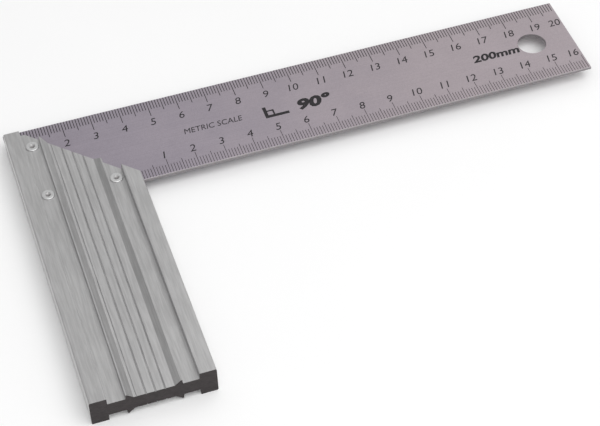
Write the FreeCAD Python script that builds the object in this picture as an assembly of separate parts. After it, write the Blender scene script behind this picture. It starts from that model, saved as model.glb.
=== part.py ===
import FreeCAD, Part
import math
import os

# Try square: a graduated steel blade held in a slotted, mitred aluminium stock by three rivets.
# Millimetres. +X runs along the blade to its free end, +Y across the blade to its outer edge,
# and +Z is up. The origin is the inside corner at the base: where the stock's working face,
# the blade's inner edge and the plane that the square lies on meet.

# Stock: an extruded aluminium bar along Y, the same above and below its middle plane
stock_width = 39.2           # across, along X
stock_height = 9.8           # along Z
stock_reach = 87.6           # from the blade's inner edge down to the square-cut end
land_width = 5.4             # full-height strip along each side
web_thickness = 5.1          # the plate between the two lands
land_edge_radius = 0.5
land_inner_radius = 0.25
root_radius = 0.3            # where a wall meets the web

# A saw-tooth rib each side of the web, steep towards the land and sloping towards the middle
outer_rib_inset = 11.0       # from the stock's nearest side to the rib's steep face
inner_rib_inset = 10.6
rib_base = 2.5
rib_height = 1.7
rib_lean = 0.1               # how far the steep face leans back over its height
rib_tip = 0.4

# Four V grooves between the ribs, not quite centred; the first one is finer
groove_first = 14.35         # from the stock's outer side
groove_pitch = 2.95
groove_widths = (0.35, 0.6, 0.6, 0.6)

# Upper end of the stock: a 45 degree mitre from the inside corner, cut off by a flat tip
tip_width = 7.1

# Blade: a plain strip, its hidden end flush with the stock's outer side
blade_length = 200.0
blade_width = 36.0
blade_thickness = 1.2
blade_edge_break = 0.12      # small chamfer round both faces
hanging_hole_radius = 5.0
hanging_hole_from_end = 14.5

# Slot for the blade, sawn through the stock in its middle plane
slot_clearance = 0.03        # on each face of the blade

# Rivets: headed on both sides, each head with a punched dimple
outer_rivet_inset = 8.2      # from the stock's nearest side
inner_rivet_inset = 8.0
rivet_low = 1.9              # above the blade's inner edge
rivet_high = 25.6
rivet_radius = 1.1
head_radius = 2.2
head_height = 0.4
head_round = 0.3
dimple_radius = 1.05
dimple_depth = 0.7

half_height = stock_height / 2
half_web = web_thickness / 2
outer_side = -stock_width
blade_end = outer_side + blade_length
mid_z = half_height
tip_y = stock_width - tip_width
rivet_places = (
    (outer_side + outer_rivet_inset, rivet_high),
    (outer_side + outer_rivet_inset, rivet_low),
    (-inner_rivet_inset, rivet_low),
)


def vec(x, y, z):
    return FreeCAD.Vector(x, y, z)


def rounded_wire(corners):
    """Closed wire in the XZ plane through (x, z, radius) corners; a radius gives a tangent arc."""
    entries, exits, middles = [], [], []
    count = len(corners)
    for i, (x, z, radius) in enumerate(corners):
        here = vec(x, 0, z)
        back = vec(corners[i - 1][0], 0, corners[i - 1][1]) - here
        ahead_corner = corners[(i + 1) % count]
        ahead = vec(ahead_corner[0], 0, ahead_corner[1]) - here
        back.normalize()
        ahead.normalize()
        half_angle = back.getAngle(ahead) / 2
        trim = radius / math.tan(half_angle)
        bisector = back + ahead
        bisector.normalize()
        entries.append(here + back * trim)
        exits.append(here + ahead * trim)
        middles.append(here + bisector * (radius / math.sin(half_angle) - radius))
    edges = []
    for i, corner in enumerate(corners):
        if corner[2] > 0:
            edges.append(Part.Arc(entries[i], middles[i], exits[i]).toShape())
        edges.append(Part.LineSegment(exits[i], entries[(i + 1) % count]).toShape())
    return Part.Wire(edges)


def groove_corners():
    """Web corners of the V grooves, as (distance from the outer side, height, radius)."""
    corners = []
    for i, width in enumerate(groove_widths):
        middle = groove_first + i * groove_pitch
        corners.append((middle - width / 2, half_web, 0))
        corners.append((middle, half_web - width / 2, 0))
        corners.append((middle + width / 2, half_web, 0))
    return corners


def side_corners(rib_inset):
    """A land and its rib: (distance from the stock's side, height, radius), from the side inwards."""
    top = half_web + rib_height
    return [
        (0, half_height, land_edge_radius),
        (land_width, half_height, land_inner_radius),
        (land_width, half_web, root_radius),
        (rib_inset, half_web, root_radius),
        (rib_inset + rib_lean, top, 0),
        (rib_inset + rib_lean + rib_tip, top, 0),
        (rib_inset + rib_base, half_web, root_radius),
    ]


def stock_section():
    """Face of the extrusion's section, in the XZ plane."""
    far = [(stock_width - x, h, r) for x, h, r in reversed(side_corners(inner_rib_inset))]
    upper = side_corners(outer_rib_inset) + groove_corners() + far
    lower = [(x, -h, r) for x, h, r in reversed(upper)]
    corners = [(outer_side + x, mid_z + h, r) for x, h, r in upper + lower]
    return Part.Face(rounded_wire(corners))


def mitre_plan():
    """Plan of the stock: square end, mitre at 45 degrees and a flat tip on the outer side."""
    outline = [
        vec(outer_side, -stock_reach, 0),
        vec(0, -stock_reach, 0),
        vec(0, 0, 0),
        vec(outer_side + tip_width, tip_y, 0),
        vec(outer_side, tip_y, 0),
    ]
    face = Part.Face(Part.makePolygon(outline + outline[:1]))
    return face.extrude(vec(0, 0, stock_height))


def rivet_shanks(radius):
    """Straight cylinders where the rivets pass, through the full height."""
    return [Part.makeCylinder(radius, stock_height, vec(x, y, 0)) for x, y in rivet_places]


def make_stock():
    bar = stock_section()
    bar.translate(vec(0, -stock_reach, 0))
    bar = bar.extrude(vec(0, stock_reach + tip_y, 0))
    bar = bar.common(mitre_plan())
    slot_thickness = blade_thickness + 2 * slot_clearance
    slot = Part.makeBox(stock_width, tip_y, slot_thickness,
                        vec(outer_side, 0, mid_z - slot_thickness / 2))
    bar = bar.cut(slot)
    for shank in rivet_shanks(rivet_radius):
        bar = bar.cut(shank)
    return bar.Solids[0]


def make_blade():
    strip = Part.makeBox(blade_length, blade_width, blade_thickness,
                         vec(outer_side, 0, mid_z - blade_thickness / 2))
    hole = Part.makeCylinder(hanging_hole_radius, stock_height,
                             vec(blade_end - hanging_hole_from_end, blade_width / 2, 0))
    flat_edges = [e for e in strip.Edges if abs(e.tangentAt(e.FirstParameter).z) < 0.5]
    strip = strip.makeChamfer(blade_edge_break, flat_edges)
    strip = strip.cut(hole)
    for shank in rivet_shanks(rivet_radius):
        strip = strip.cut(shank)
    return strip.Solids[0]


def rivet_head(side):
    """One head, on the upper (side 1) or the lower (side -1) face of the web, at the origin."""
    base = vec(0, 0, side * half_web)
    up = vec(0, 0, side)
    head = Part.makeCylinder(head_radius, head_height, base, up)
    top = side * (half_web + head_height)
    rim = [e for e in head.Edges if abs(e.BoundBox.Center.z - top) < 1e-6 and len(e.Vertexes) == 1]
    return head.makeFillet(head_round, rim)


def dimple(side):
    """Ball that cuts a round dimple of the stated mouth and depth into a head."""
    ball_radius = (dimple_radius**2 + dimple_depth**2) / (2 * dimple_depth)
    centre = half_web + head_height - dimple_depth + ball_radius
    return Part.makeSphere(ball_radius, vec(0, 0, side * centre))


def make_rivet(x, y):
    rivet = Part.makeCylinder(rivet_radius, web_thickness, vec(0, 0, -half_web))
    for side in (1, -1):
        rivet = rivet.fuse(rivet_head(side))
    for side in (1, -1):
        rivet = rivet.cut(dimple(side))
    rivet.translate(vec(x, y, mid_z))
    return rivet.Solids[0]


def report(name, shape):
    box = shape.BoundBox
    print(name, "valid", shape.isValid(), "solids", len(shape.Solids),
          "volume %.1f" % shape.Volume,
          "x %.2f %.2f" % (box.XMin, box.XMax),
          "y %.2f %.2f" % (box.YMin, box.YMax),
          "z %.2f %.2f" % (box.ZMin, box.ZMax))


os.makedirs("parts", exist_ok=True)
nodes = {
    "stock": make_stock(),
    "blade": make_blade(),
    "rivets": Part.makeCompound([make_rivet(x, y) for x, y in rivet_places]),
}
for node, shape in nodes.items():
    shape.exportStep("parts/%s.step" % node)
    report(node, shape)
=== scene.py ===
import math

import bmesh
import bpy
from mathutils import Matrix, Vector


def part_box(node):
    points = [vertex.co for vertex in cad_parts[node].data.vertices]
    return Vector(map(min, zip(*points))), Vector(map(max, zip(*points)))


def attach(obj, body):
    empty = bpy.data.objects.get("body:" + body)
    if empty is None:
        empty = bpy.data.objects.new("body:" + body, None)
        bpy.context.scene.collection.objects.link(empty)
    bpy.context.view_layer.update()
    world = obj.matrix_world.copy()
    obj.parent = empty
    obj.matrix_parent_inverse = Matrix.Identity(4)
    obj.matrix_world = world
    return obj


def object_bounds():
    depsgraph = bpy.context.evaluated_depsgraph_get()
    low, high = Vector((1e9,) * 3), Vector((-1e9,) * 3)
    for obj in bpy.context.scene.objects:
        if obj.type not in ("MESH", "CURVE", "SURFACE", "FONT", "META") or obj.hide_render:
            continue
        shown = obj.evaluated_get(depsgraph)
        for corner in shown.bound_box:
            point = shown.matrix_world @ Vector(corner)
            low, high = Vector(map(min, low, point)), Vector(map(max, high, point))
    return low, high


# The looks of a try square: aluminium stock, graduated steel blade and three rivets.
# Metres, in the CAD frame: the origin is the inside corner at the base, the blade runs along +X
# and the stock along -Y.

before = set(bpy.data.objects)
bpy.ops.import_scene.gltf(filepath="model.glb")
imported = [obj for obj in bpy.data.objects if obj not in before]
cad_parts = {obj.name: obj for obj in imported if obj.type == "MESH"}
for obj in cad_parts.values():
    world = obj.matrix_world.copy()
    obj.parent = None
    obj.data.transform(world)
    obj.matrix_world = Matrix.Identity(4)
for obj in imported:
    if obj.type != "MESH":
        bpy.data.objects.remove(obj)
cad_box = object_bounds()

MM = 0.001
stock_low, stock_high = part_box("stock")
blade_low, blade_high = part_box("blade")
INNER_SIDE = stock_high[0]             # the stock's working face
OUTER_SIDE = stock_low[0]
FREE_END = blade_high[0]
OUTER_EDGE = blade_high[1]
INNER_EDGE = blade_low[1]
BLADE_TOP = blade_high[2]
BLADE_UNDER = blade_low[2]
BLADE_MIDDLE = (OUTER_EDGE + INNER_EDGE) / 2
STOCK_TIP_Y = stock_high[1]

# Graduations, measured in from the blade's edge
OUTER_TICK_WIDTH = 0.25 * MM
INNER_TICK_WIDTH = 0.18 * MM
EDGE_GAP = 0.16 * MM                   # bare metal left at the blade's edge
MARK_RELIEF = 0.02 * MM                # how far a mark stands above the metal, and reaches into it
OUTER_TICKS = {1: 4.3 * MM, 5: 5.9 * MM, 10: 7.6 * MM}
INNER_TICKS = {1: 4.1 * MM, 5: 5.4 * MM, 10: 6.7 * MM}
NUMERAL_HEIGHT = 3.2 * MM
OUTER_NUMERAL_INSET = 10.5 * MM        # from the outer edge to the middle of its numerals
INNER_NUMERAL_INSET = 8.8 * MM
NUMERAL_SQUEEZE = 0.97
LAST_NUMERAL_INSET = 2.7 * MM          # nearest that the middle of a numeral comes to the free end
DIGIT_HALF_WIDTH = 1.0 * MM
STOCK_GAP = 0.3 * MM                   # marks stop this far short of the mitre
SLANT = 0.17                           # lean of all the lettering, as a slope

# The size mark, beside the hanging hole
SIZE_MARK_X = FREE_END - 28.3 * MM
SIZE_MARK_Y = BLADE_MIDDLE - 0.9 * MM
SIZE_MARK_HEIGHT = 3.6 * MM
SIZE_MARK_BOLD = 0.035
SIZE_MARK_SQUEEZE = 1.22

# The small line of text near the stock
SCALE_MARK_X = OUTER_SIDE + 68.7 * MM
SCALE_MARK_Y = BLADE_MIDDLE - 0.9 * MM
SCALE_MARK_HEIGHT = 2.5 * MM
SCALE_MARK_SQUEEZE = 0.88

# The right-angle sign and its "90°"
SQUARE_MARK_X = OUTER_SIDE + 99.5 * MM
ANGLE_AWAY = 13.0 * MM                 # from SQUARE_MARK_X back to the sign's corner
ANGLE_Y = BLADE_MIDDLE - 4.2 * MM
ANGLE_LENGTH = 8.4 * MM
ANGLE_HEIGHT = 5.4 * MM
ANGLE_STROKE = 1.2 * MM
ANGLE_SQUARE = 2.4 * MM
DEGREES_AWAY = 4.8 * MM                # from SQUARE_MARK_X on to the middle of "90°"
DEGREES_Y = BLADE_MIDDLE - 1.5 * MM
DEGREES_HEIGHT = 5.6 * MM
DEGREES_BOLD = 0.05
DEGREES_SQUEEZE = 1.3

# The camera looks at a point beside the middle of the CAD box
CAMERA_LENS = 112.26
CAMERA_SENSOR = 36.0
CAMERA_OFFSET = Vector((-16.36, -5.44, 0.0)) * MM
CAMERA_AZIMUTH = 16.44
CAMERA_ELEVATION = 46.78
CAMERA_DISTANCE = 0.6043
CAMERA_ROLL = -2.465

# The light: a white sky, weaker at the horizon, and two softboxes
# (azimuth, elevation, distance, width, height, power)
SKY_AT_HORIZON = 0.30
SKY_AT_ZENITH = 0.66
BACK_SOFTBOX = (222.0, 42.0, 1.3, 1.0, 1.0, 1.5)
FRONT_SOFTBOX = (-20.0, 62.0, 1.3, 1.4, 1.4, 11.4)
FLOOR_HALF_SIZE = 3.0


# ---------------------------------------------------------------- node trees

class Tree:
    """A short way to write a material's nodes. The texture and maths methods return a socket."""

    def __init__(self, name):
        self.material = bpy.data.materials.new(name)
        self.material.use_nodes = True
        self.tree = self.material.node_tree
        self.tree.nodes.clear()
        output = self.tree.nodes.new("ShaderNodeOutputMaterial")
        self.shader = self.tree.nodes.new("ShaderNodeBsdfPrincipled")
        self.tree.links.new(self.shader.outputs["BSDF"], output.inputs["Surface"])

    def put(self, socket, value):
        if isinstance(value, bpy.types.NodeSocket):
            self.tree.links.new(value, socket)
        else:
            socket.default_value = value

    def set(self, name, value):
        self.put(self.shader.inputs[name], value)

    def place(self):
        """Position on the object, in millimetres, so textures read at their real size."""
        coordinates = self.tree.nodes.new("ShaderNodeTexCoord")
        scale = self.tree.nodes.new("ShaderNodeVectorMath")
        scale.operation = "SCALE"
        self.put(scale.inputs[0], coordinates.outputs["Object"])
        scale.inputs["Scale"].default_value = 1 / MM
        return scale.outputs["Vector"]

    def part_of(self, axis, vector):
        """One component of a vector; axis is X, Y or Z."""
        node = self.tree.nodes.new("ShaderNodeSeparateXYZ")
        self.put(node.inputs[0], vector)
        return node.outputs[axis]

    def facing(self, axis):
        """The face's normal along an axis, before any bump."""
        geometry = self.tree.nodes.new("ShaderNodeNewGeometry")
        return self.part_of(axis, geometry.outputs["True Normal"])

    def stretch(self, vector, scale):
        node = self.tree.nodes.new("ShaderNodeMapping")
        self.put(node.inputs["Vector"], vector)
        node.inputs["Scale"].default_value = scale
        return node.outputs["Vector"]

    def noise(self, vector, scale, detail, roughness):
        node = self.tree.nodes.new("ShaderNodeTexNoise")
        self.put(node.inputs["Vector"], vector)
        node.inputs["Scale"].default_value = scale
        node.inputs["Detail"].default_value = detail
        node.inputs["Roughness"].default_value = roughness
        return node.outputs["Fac"]

    def math(self, operation, a, b=0.0):
        node = self.tree.nodes.new("ShaderNodeMath")
        node.operation = operation
        self.put(node.inputs[0], a)
        self.put(node.inputs[1], b)
        return node.outputs[0]

    def between(self, value, low, high, to_low=0.0, to_high=1.0):
        """Smooth change from to_low to to_high as value goes from low to high."""
        node = self.tree.nodes.new("ShaderNodeMapRange")
        node.interpolation_type = "SMOOTHSTEP"
        self.put(node.inputs["Value"], value)
        node.inputs["From Min"].default_value = low
        node.inputs["From Max"].default_value = high
        node.inputs["To Min"].default_value = to_low
        node.inputs["To Max"].default_value = to_high
        return node.outputs["Result"]

    def mix(self, factor, a, b):
        node = self.tree.nodes.new("ShaderNodeMix")
        node.data_type = "RGBA"
        self.put(node.inputs["Factor"], factor)
        self.put(node.inputs["A"], (*a, 1) if isinstance(a, tuple) else a)
        self.put(node.inputs["B"], (*b, 1) if isinstance(b, tuple) else b)
        return node.outputs["Result"]

    def shade(self, color, factor):
        """The colour times a number."""
        node = self.tree.nodes.new("ShaderNodeVectorMath")
        node.operation = "SCALE"
        self.put(node.inputs[0], color)
        self.put(node.inputs["Scale"], factor)
        return node.outputs["Vector"]

    def bump(self, height, distance, strength):
        node = self.tree.nodes.new("ShaderNodeBump")
        node.inputs["Strength"].default_value = strength
        node.inputs["Distance"].default_value = distance
        self.put(node.inputs["Height"], height)
        return node.outputs["Normal"]


# ---------------------------------------------------------------- materials

def aluminium_stock():
    """Satin extruded aluminium: die lines and short streaks along Y, a fine grain, sawn ends; the
    square end is painted near-black as shade.
    """
    t = Tree("satin_extruded_aluminium")
    place = t.place()
    normal_x, normal_y = t.facing("X"), t.facing("Y")

    broad_lines = t.noise(t.stretch(place, (1.3, 0.004, 1.3)), 1.0, 3.0, 0.6)
    fine_lines = t.noise(t.stretch(place, (9.0, 0.03, 9.0)), 1.0, 2.0, 0.6)
    streaks = t.noise(t.stretch(place, (1.5, 0.11, 1.5)), 1.0, 3.0, 0.6)
    grain = t.noise(place, 5.5, 2.0, 0.6)
    clouds = t.noise(place, 0.045, 2.0, 0.5)
    lines = t.math("ADD", t.math("MULTIPLY", broad_lines, 0.6), t.math("MULTIPLY", fine_lines, 0.4))

    tone = t.between(lines, 0.3, 0.7, 0.93, 1.06)
    tone = t.math("MULTIPLY", tone, t.between(streaks, 0.3, 0.7, 0.92, 1.08))
    tone = t.math("MULTIPLY", tone, t.between(grain, 0.3, 0.7, 0.97, 1.03))
    tone = t.math("MULTIPLY", tone, t.between(clouds, 0.3, 0.7, 0.975, 1.025))
    face = t.shade(t.mix(clouds, (0.560, 0.556, 0.556), (0.574, 0.570, 0.569)), tone)

    # a sawn face: fine saw marks across it; the square end is painted near-black as shade, and made
    # less metallic
    teeth = t.noise(t.stretch(place, (0.5, 0.5, 6.0)), 1.0, 3.0, 0.6)
    mitre_side = t.math("MULTIPLY", t.math("ADD", normal_x, normal_y), math.sqrt(0.5))
    mitre = t.between(mitre_side, 0.9, 0.98)
    tip = t.between(normal_y, 0.9, 0.98)
    bright_saw = t.math("MAXIMUM", mitre, tip)
    # painted shade: the square end's sawn face is coloured near-black
    shaded_square_end = t.between(normal_y, -0.9, -0.98)
    sawn = t.math("MAXIMUM", bright_saw, shaded_square_end)
    bright_cut = t.shade((0.44, 0.44, 0.435), t.between(teeth, 0.3, 0.7, 0.8, 1.15))
    painted_end_shade = t.shade((0.054, 0.0465, 0.0475), t.between(teeth, 0.3, 0.7, 0.7, 1.3))
    color = t.mix(bright_saw, face, bright_cut)
    color = t.mix(shaded_square_end, color, painted_end_shade)

    t.set("Base Color", color)
    t.set("Metallic", t.between(shaded_square_end, 0.0, 1.0, 1.0, 0.55))

    # the side walls are a little smoother than the rest, and the sawn faces rougher
    side_wall = t.between(t.math("ABSOLUTE", normal_x), 0.9, 0.98)
    roughness = t.between(lines, 0.3, 0.7, 0.42, 0.52)
    roughness = t.math("SUBTRACT", roughness, t.math("MULTIPLY", side_wall, 0.12))
    t.set("Roughness", t.math("ADD", roughness, t.math("MULTIPLY", sawn, 0.12)))
    height = t.math("ADD", lines, t.math("MULTIPLY", grain, 0.35))
    height = t.math("ADD", height, t.math("MULTIPLY", t.math("MULTIPLY", teeth, sawn), 3.0))
    t.set("Normal", t.bump(height, 0.006 * MM, 0.8))
    return t.material


def steel_blade():
    """Satin steel strip, brushed along its length, with a fine speckle, and edge faces painted darker
    as shade, with grinding marks.
    """
    t = Tree("satin_brushed_steel")
    place = t.place()

    brush = t.noise(t.stretch(place, (0.05, 7.0, 7.0)), 1.0, 3.0, 0.65)
    hair = t.noise(t.stretch(place, (0.25, 26.0, 26.0)), 1.0, 2.0, 0.6)
    speckle = t.noise(place, 3.2, 3.0, 0.7)
    clouds = t.noise(place, 0.05, 3.0, 0.55)

    tone = t.between(brush, 0.3, 0.7, 0.94, 1.06)
    tone = t.math("MULTIPLY", tone, t.between(speckle, 0.3, 0.7, 0.93, 1.07))
    tone = t.math("MULTIPLY", tone, t.between(clouds, 0.3, 0.7, 0.97, 1.03))
    along = t.math("ADD", t.part_of("X", place), t.math("MULTIPLY", clouds, 60.0))
    warmth = t.between(along, 20.0, 150.0)
    face = t.shade(t.mix(warmth, (0.430, 0.388, 0.445), (0.455, 0.400, 0.425)), tone)

    # painted shade: the edge faces get a darker colour, with grinding marks across it
    shaded_edge_faces = t.between(t.math("ABSOLUTE", t.facing("Z")), 0.9, 0.6)
    grinding = t.noise(t.stretch(place, (0.8, 0.8, 14.0)), 1.0, 2.0, 0.6)
    edge = t.shade(t.mix(clouds, (0.29, 0.27, 0.28), (0.34, 0.32, 0.33)),
                   t.between(grinding, 0.3, 0.7, 0.85, 1.12))
    t.set("Base Color", t.mix(shaded_edge_faces, face, edge))
    t.set("Metallic", 1.0)
    t.set("Roughness", t.between(brush, 0.3, 0.7, 0.38, 0.50))
    height = t.math("ADD", brush, t.math("MULTIPLY", hair, 0.5))
    height = t.math("ADD", height, t.math("MULTIPLY", speckle, 0.5))
    t.set("Normal", t.bump(height, 0.004 * MM, 0.7))
    return t.material


def rivet_metal():
    """Bright upset aluminium: a hammered head, with painted shade in the dimple."""
    t = Tree("peened_aluminium_rivet")
    place = t.place()
    dents = t.noise(place, 2.4, 2.0, 0.5)
    grain = t.noise(place, 9.0, 2.0, 0.6)
    middle = (BLADE_TOP + BLADE_UNDER) / 2 / MM
    head_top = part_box("rivets")[1][2] / MM - middle
    from_middle = t.math("ABSOLUTE", t.math("SUBTRACT", t.part_of("Z", place), middle))
    depth = t.math("SUBTRACT", head_top, from_middle)
    # painted shade: darker the deeper a point lies below the head's top, as in the dimple
    dimple_shade = t.between(depth, 0.12, 0.65)
    metal = t.shade(t.mix(dents, (0.66, 0.66, 0.66), (0.76, 0.76, 0.76)),
                    t.between(grain, 0.3, 0.7, 0.92, 1.06))
    t.set("Base Color", t.mix(dimple_shade, metal, (0.30, 0.29, 0.29)))
    t.set("Metallic", 1.0)
    t.set("Roughness", t.between(dimple_shade, 0.0, 1.0, 0.48, 0.62))
    height = t.math("ADD", dents, t.math("MULTIPLY", grain, 0.25))
    t.set("Normal", t.bump(height, 0.03 * MM, 0.8))
    return t.material


def etched_ink():
    """Near-black filled etching, worn a little lighter in patches."""
    t = Tree("black_etched_marking")
    place = t.place()
    wear = t.noise(place, 1.1, 4.0, 0.7)
    grain = t.noise(place, 14.0, 1.0, 0.5)
    worn = t.math("MULTIPLY", t.between(wear, 0.55, 0.8), t.between(grain, 0.4, 0.6))
    t.set("Base Color", t.mix(worn, (0.020, 0.018, 0.020), (0.11, 0.10, 0.11)))
    t.set("Metallic", 0.0)
    t.set("Specular IOR Level", 0.3)
    t.set("Roughness", t.between(grain, 0.3, 0.7, 0.45, 0.6))
    t.set("Normal", t.bump(grain, 0.004 * MM, 0.5))
    return t.material


def pale_floor():
    t = Tree("pale_studio_floor")
    grain = t.noise(t.place(), 0.02, 2.0, 0.5)
    t.set("Base Color", t.mix(grain, (0.96, 0.96, 0.96), (0.98, 0.98, 0.98)))
    t.set("Roughness", 0.9)
    t.set("Specular IOR Level", 0.1)
    return t.material


def dress(obj, material):
    obj.data.materials.clear()
    obj.data.materials.append(material)


# ---------------------------------------------------------------- marks on the blade

def mitre_y(x):
    """Height of the stock's upper end at x, over the blade."""
    return min(INNER_EDGE + INNER_SIDE - x, STOCK_TIP_Y) if x < INNER_SIDE else INNER_EDGE


def add_bar(mesh, x0, x1, y0, y1, z0, z1):
    """Closed rectangular bar."""
    corners = [mesh.verts.new((x, y, z)) for z in (z0, z1) for y in (y0, y1) for x in (x0, x1)]
    sides = ((0, 2, 3, 1), (4, 5, 7, 6), (0, 1, 5, 4), (1, 3, 7, 5), (3, 2, 6, 7), (2, 0, 4, 6))
    for side in sides:
        mesh.faces.new([corners[i] for i in side])


def add_prism(mesh, outline, z0, z1):
    """Closed prism over an outline of (x, y) points."""
    rings = [[mesh.verts.new((x, y, z)) for x, y in outline] for z in (z0, z1)]
    mesh.faces.new(rings[0])
    mesh.faces.new(rings[1])
    count = len(outline)
    for i in range(count):
        j = (i + 1) % count
        mesh.faces.new((rings[0][i], rings[0][j], rings[1][j], rings[1][i]))


def surface_span(side):
    """Lowest and highest z of a mark on the top (side 1) or the under (side -1) face."""
    surface = BLADE_TOP if side > 0 else BLADE_UNDER
    return surface - MARK_RELIEF, surface + MARK_RELIEF


def tick_length(millimetre, lengths):
    for step in (10, 5):
        if millimetre % step == 0:
            return lengths[step]
    return lengths[1]


def add_ticks(mesh, side, zero, edge, inward, lengths, width):
    """A millimetre scale from x = zero to the free end; inward is a tick's way from the edge."""
    z0, z1 = surface_span(side)
    count = round((FREE_END - zero) / MM)
    for millimetre in range(1, count):
        x = zero + millimetre * MM
        start = edge + inward * EDGE_GAP
        end = edge + inward * tick_length(millimetre, lengths)
        if x < INNER_SIDE:
            end = max(end, mitre_y(x - width / 2) + STOCK_GAP)
            if end >= start - width:
                continue
        add_bar(mesh, x - width / 2, x + width / 2, min(start, end), max(start, end), z0, z1)


def add_text(mesh, side, words, x, y, height, squeeze, bold=0.0):
    """Lettering centred on (x, y), reading upright with the blade's outer edge at the top."""
    curve = bpy.data.curves.new("lettering", "FONT")
    curve.body = words
    curve.resolution_u = 3
    curve.offset = bold
    curve.extrude = 0.1
    holder = bpy.data.objects.new("lettering", curve)
    letters = bpy.data.meshes.new_from_object(holder)
    xs = [v.co.x for v in letters.vertices]
    ys = [v.co.y for v in letters.vertices]
    cap = height / (max(ys) - min(ys))
    shift = Matrix.Translation((-(min(xs) + max(xs)) / 2, -(min(ys) + max(ys)) / 2, 0))
    size = Matrix.Diagonal((cap * squeeze * side, cap, side * MARK_RELIEF / curve.extrude, 1))
    z0, z1 = surface_span(side)
    lean = Matrix.Identity(4)
    lean[0][1] = SLANT
    letters.transform(Matrix.Translation((x, y, (z0 + z1) / 2)) @ size @ lean @ shift)
    mesh.from_mesh(letters)
    bpy.data.meshes.remove(letters)
    bpy.data.objects.remove(holder)
    bpy.data.curves.remove(curve)


def add_numerals(mesh, side, zero, y):
    """A number at every centimetre; the last one moves in from the free end."""
    last = int((FREE_END - zero) / (10 * MM) + 1e-6)
    for number in range(1, last + 1):
        x = min(zero + number * 10 * MM, FREE_END - LAST_NUMERAL_INSET)
        half = len(str(number)) * DIGIT_HALF_WIDTH
        if x < INNER_SIDE and y - NUMERAL_HEIGHT / 2 < mitre_y(x - half) + STOCK_GAP:
            continue
        add_text(mesh, side, str(number), x, y, NUMERAL_HEIGHT, NUMERAL_SQUEEZE)


def add_right_angle(mesh, side, x, y):
    """A plain right-angle sign with its corner at (x, y) and a small square in the corner."""
    z0, z1 = surface_span(side)

    def angle(start, width, height, thick):
        """An L whose outer corner is at start; with negative sizes it is turned half round."""
        corner = [(0, 0), (width, 0), (width, thick), (thick, thick), (thick, height), (0, height)]
        add_prism(mesh, [(x + side * (start[0] + a), y + start[1] + b) for a, b in corner], z0, z1)

    angle((0, 0), ANGLE_LENGTH, ANGLE_HEIGHT, ANGLE_STROKE)
    far = ANGLE_STROKE + ANGLE_SQUARE
    angle((far, far), -ANGLE_SQUARE, -ANGLE_SQUARE, -ANGLE_STROKE / 2)


def finish_piece(mesh, name, material):
    """Merges doubled points, makes the walls face out, and puts the piece on the fixed body."""
    bmesh.ops.remove_doubles(mesh, verts=mesh.verts, dist=1e-7)
    bmesh.ops.recalc_face_normals(mesh, faces=mesh.faces)
    data = bpy.data.meshes.new(name)
    mesh.to_mesh(data)
    mesh.free()
    piece = bpy.data.objects.new(name, data)
    bpy.context.scene.collection.objects.link(piece)
    dress(piece, material)
    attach(piece, "root")


def mark_face(side, label, ink):
    """Every mark on one face of the blade, so far as the stock leaves it bare."""
    outer = bmesh.new()
    add_ticks(outer, side, OUTER_SIDE, OUTER_EDGE, -1, OUTER_TICKS, OUTER_TICK_WIDTH)
    finish_piece(outer, "outer_scale_" + label, ink)
    inner = bmesh.new()
    add_ticks(inner, side, INNER_SIDE, INNER_EDGE, 1, INNER_TICKS, INNER_TICK_WIDTH)
    finish_piece(inner, "inner_scale_" + label, ink)
    outer_numbers = bmesh.new()
    add_numerals(outer_numbers, side, OUTER_SIDE, OUTER_EDGE - OUTER_NUMERAL_INSET)
    finish_piece(outer_numbers, "outer_numerals_" + label, ink)
    inner_numbers = bmesh.new()
    add_numerals(inner_numbers, side, INNER_SIDE, INNER_EDGE + INNER_NUMERAL_INSET)
    finish_piece(inner_numbers, "inner_numerals_" + label, ink)

    size_mark = bmesh.new()
    add_text(size_mark, side, "200mm", SIZE_MARK_X, SIZE_MARK_Y, SIZE_MARK_HEIGHT,
             SIZE_MARK_SQUEEZE, SIZE_MARK_BOLD)
    finish_piece(size_mark, "size_mark_" + label, ink)
    square_mark = bmesh.new()
    add_right_angle(square_mark, side, SQUARE_MARK_X - side * ANGLE_AWAY, ANGLE_Y)
    add_text(square_mark, side, "90°", SQUARE_MARK_X + side * DEGREES_AWAY, DEGREES_Y, DEGREES_HEIGHT,
             DEGREES_SQUEEZE, DEGREES_BOLD)
    finish_piece(square_mark, "square_mark_" + label, ink)
    scale_mark = bmesh.new()
    add_text(scale_mark, side, "METRIC SCALE", SCALE_MARK_X, SCALE_MARK_Y, SCALE_MARK_HEIGHT,
             SCALE_MARK_SQUEEZE)
    finish_piece(scale_mark, "scale_mark_" + label, ink)


# ---------------------------------------------------------------- studio

def aim(obj, target, roll=0.0):
    """Turns obj so that its -Z axis looks at the target, rolled about that axis."""
    look = (target - obj.location).to_track_quat("-Z", "Y")
    obj.rotation_euler = (look.to_matrix() @ Matrix.Rotation(roll, 3, "Z")).to_euler()


def direction(azimuth, elevation):
    """From the subject towards something at that azimuth (0 is on the -Y side) and elevation."""
    a, e = math.radians(azimuth), math.radians(elevation)
    return Vector((-math.sin(a) * math.cos(e), -math.cos(a) * math.cos(e), math.sin(e)))


def add_camera(centre):
    data = bpy.data.cameras.new("camera")
    data.sensor_width = CAMERA_SENSOR
    data.lens = CAMERA_LENS
    data.clip_start = 0.01
    data.clip_end = 20.0
    camera = bpy.data.objects.new("camera", data)
    bpy.context.scene.collection.objects.link(camera)
    target = centre + CAMERA_OFFSET
    camera.location = target + direction(CAMERA_AZIMUTH, CAMERA_ELEVATION) * CAMERA_DISTANCE
    aim(camera, target, math.radians(CAMERA_ROLL))
    bpy.context.scene.camera = camera


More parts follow.
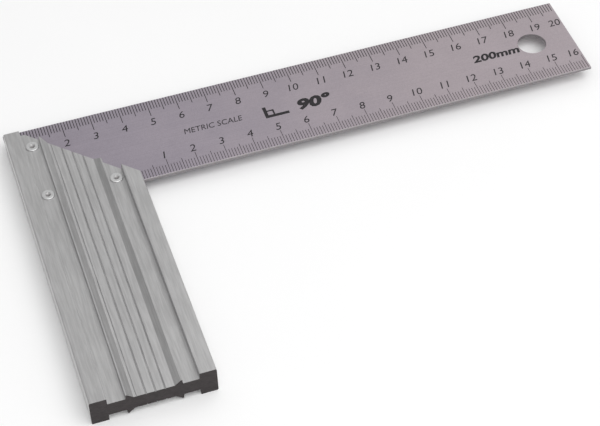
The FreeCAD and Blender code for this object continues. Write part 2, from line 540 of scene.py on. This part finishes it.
def add_softbox(name, centre, azimuth, elevation, distance, width, height, power):
    data = bpy.data.lights.new(name, "AREA")
    data.shape = "RECTANGLE"
    data.size = width
    data.size_y = height
    data.energy = power
    light = bpy.data.objects.new(name, data)
    bpy.context.scene.collection.objects.link(light)
    light.location = centre + direction(azimuth, elevation) * distance
    aim(light, centre)


def add_floor():
    mesh = bmesh.new()
    bmesh.ops.create_grid(mesh, x_segments=1, y_segments=1, size=FLOOR_HALF_SIZE)
    data = bpy.data.meshes.new("studio_floor")
    mesh.to_mesh(data)
    mesh.free()
    floor = bpy.data.objects.new("studio_floor", data)
    bpy.context.scene.collection.objects.link(floor)
    floor.location = (0, 0, stock_low[2])
    dress(floor, pale_floor())


def set_world(at_horizon, at_zenith):
    """A plain white sky that brightens evenly from the horizon to the zenith."""
    world = bpy.data.worlds.new("studio")
    bpy.context.scene.world = world
    world.use_nodes = True
    tree = world.node_tree
    background = tree.nodes["Background"]
    background.inputs["Color"].default_value = (1.0, 1.0, 1.0, 1.0)
    coordinates = tree.nodes.new("ShaderNodeTexCoord")
    split = tree.nodes.new("ShaderNodeSeparateXYZ")
    ramp = tree.nodes.new("ShaderNodeMapRange")
    ramp.inputs["To Min"].default_value = at_horizon
    ramp.inputs["To Max"].default_value = at_zenith
    tree.links.new(coordinates.outputs["Generated"], split.inputs[0])
    tree.links.new(split.outputs["Z"], ramp.inputs["Value"])
    tree.links.new(ramp.outputs["Result"], background.inputs["Strength"])


dress(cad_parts["stock"], aluminium_stock())
dress(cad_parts["blade"], steel_blade())
dress(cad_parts["rivets"], rivet_metal())
ink = etched_ink()
mark_face(1, "front", ink)
mark_face(-1, "back", ink)

low, high = cad_box
middle = (Vector(low) + Vector(high)) / 2
add_camera(middle)
add_floor()
set_world(SKY_AT_HORIZON, SKY_AT_ZENITH)
add_softbox("back_softbox", middle, *BACK_SOFTBOX)
add_softbox("front_softbox", middle, *FRONT_SOFTBOX)
bpy.context.scene.view_settings.view_transform = "Standard"
